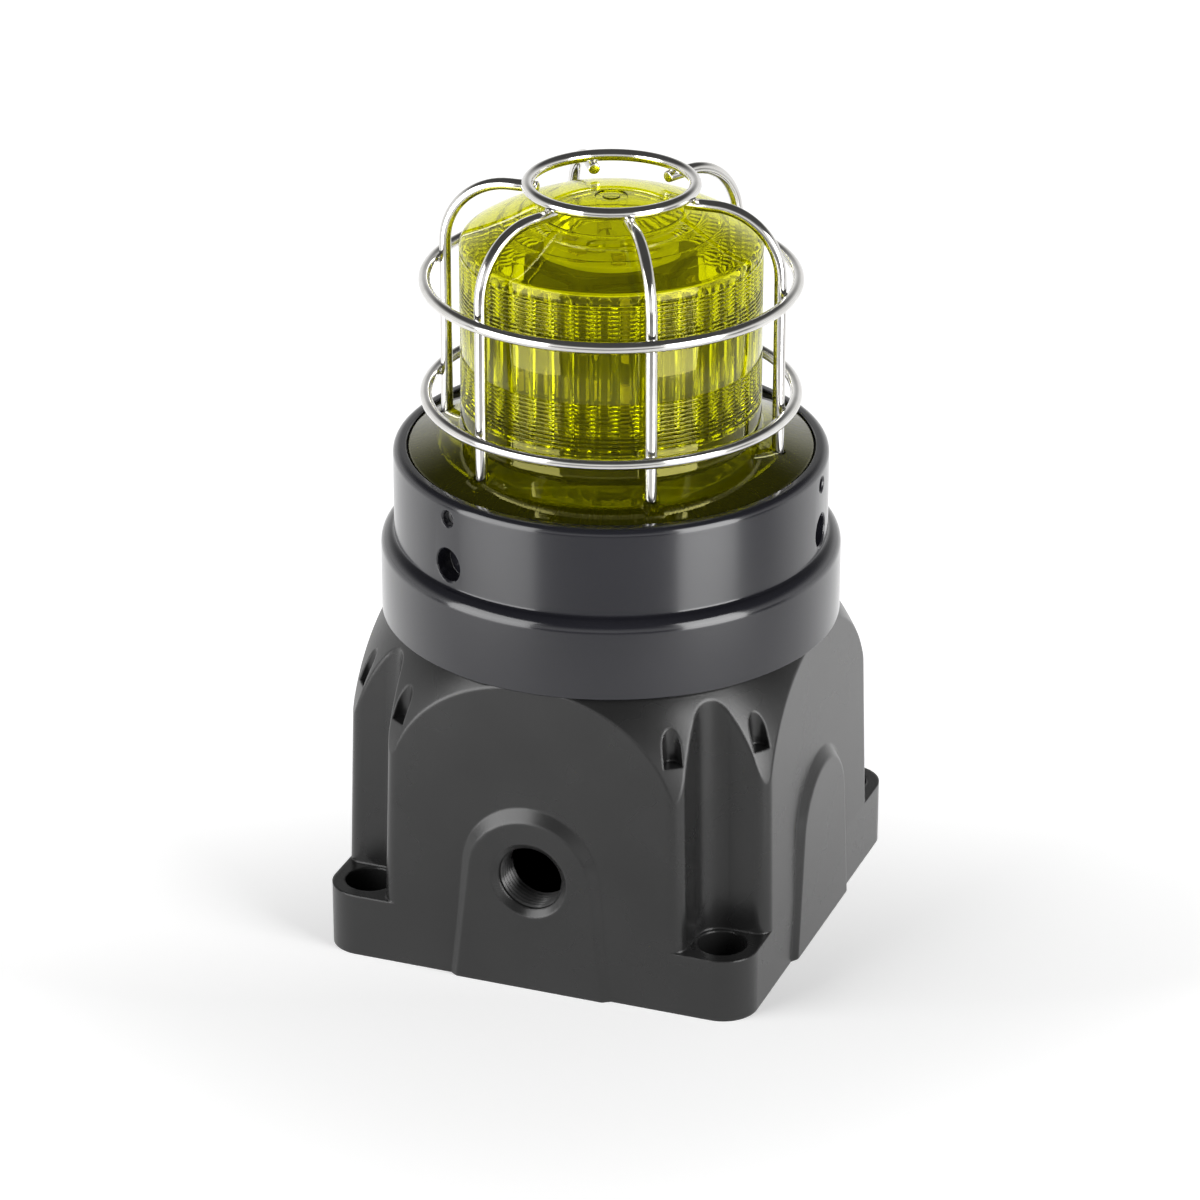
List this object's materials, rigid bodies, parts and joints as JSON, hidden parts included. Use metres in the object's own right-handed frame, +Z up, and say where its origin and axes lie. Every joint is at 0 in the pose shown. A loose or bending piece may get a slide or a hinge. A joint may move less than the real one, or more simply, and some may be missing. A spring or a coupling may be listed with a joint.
{
  "type": "warning beacon",
  "caption": "Flameproof LED warning beacon: square cast housing with a threaded cable entry, screw-on cover, ribbed yellow lens and wire guard.",
  "frame": {"origin": "middle of the housing's underside", "axes": "+Z up through the lens, -Y out of the drilled cable entry"},
  "size_m": [0.1278, 0.1278, 0.2152],
  "materials": {
    "housing_paint": "fine textured matt enamel on cast aluminium",
    "cover_paint": "smooth gloss enamel on turned aluminium",
    "black_rubber": "matt",
    "steel": "plain stainless",
    "guard_steel": "polished stainless wire",
    "yellow_lens": "clear yellow polycarbonate, ribbed outside and reeded inside",
    "cement": "set potting cement",
    "aluminium_sheet": "satin",
    "brass_plated": "nickel plated",
    "brass": "bright",
    "black_plastic": "moulded black",
    "board_white": "white solder mask",
    "board_green": "green solder mask",
    "led_face": "phosphor under clear resin",
    "capacitor_can": "shrink sleeve",
    "transformer_tape": "yellow winding tape",
    "terminal_body": "moulded green"
  },
  "bodies": {
    "housing": {"housing": "housing_paint", "mounting_plate": "aluminium_sheet", "plate_screws": "steel", "light_pillar_1": "brass_plated", "light_pillar_2": "brass_plated", "light_pillar_3": "brass_plated", "pillar_nuts": "steel", "light_base": "black_plastic", "base_screws": "steel", "light_column": "aluminium_sheet", "led_strip_1": "board_white", "led_strip_2": "board_white", "led_strip_3": "board_white", "led_strip_4": "board_white", "led_strip_5": "board_white", "led_strip_6": "board_white", "strip_leds": "led_face", "top_board": "board_white", "top_leds": "led_face", "column_screws": "steel", "driver_board": "board_green", "board_spacers": "brass_plated", "board_screws": "steel", "capacitor_1": "capacitor_can", "capacitor_2": "capacitor_can", "transformer": "transformer_tape", "terminal_block": "terminal_body", "terminal_screws": "steel", "earth_screw": "brass", "earth_washer": "brass"},
    "seal": {"cover_seal": "black_rubber"},
    "cover": {"cover": "cover_paint", "lens": "yellow_lens", "lens_cement": "cement", "lock_screws": "steel", "guard_nuts": "steel", "guard_washers": "steel", "guard_top_ring": "guard_steel", "guard_upper_ring": "guard_steel", "guard_lower_ring": "guard_steel", "guard_leg_1": "guard_steel", "guard_leg_2": "guard_steel", "guard_leg_3": "guard_steel", "guard_leg_4": "guard_steel", "guard_leg_5": "guard_steel", "guard_leg_6": "guard_steel"}
  },
  "joints": [
    {"name": "cover_lift", "type": "slide", "parent": "housing", "child": "seal", "axis": [0, 0, 1], "range_m": [0, 0.012]},
    {"name": "cover_turn", "type": "hinge", "parent": "seal", "child": "cover", "pos_m": [0, 0, 0.09], "axis": [0, 0, 1], "range_deg": [0, 2160]}
  ],
  "couplings": [
    {"joint": "cover_lift", "follows": "cover_turn", "m_per_rad": 0.00031831}
  ]
}
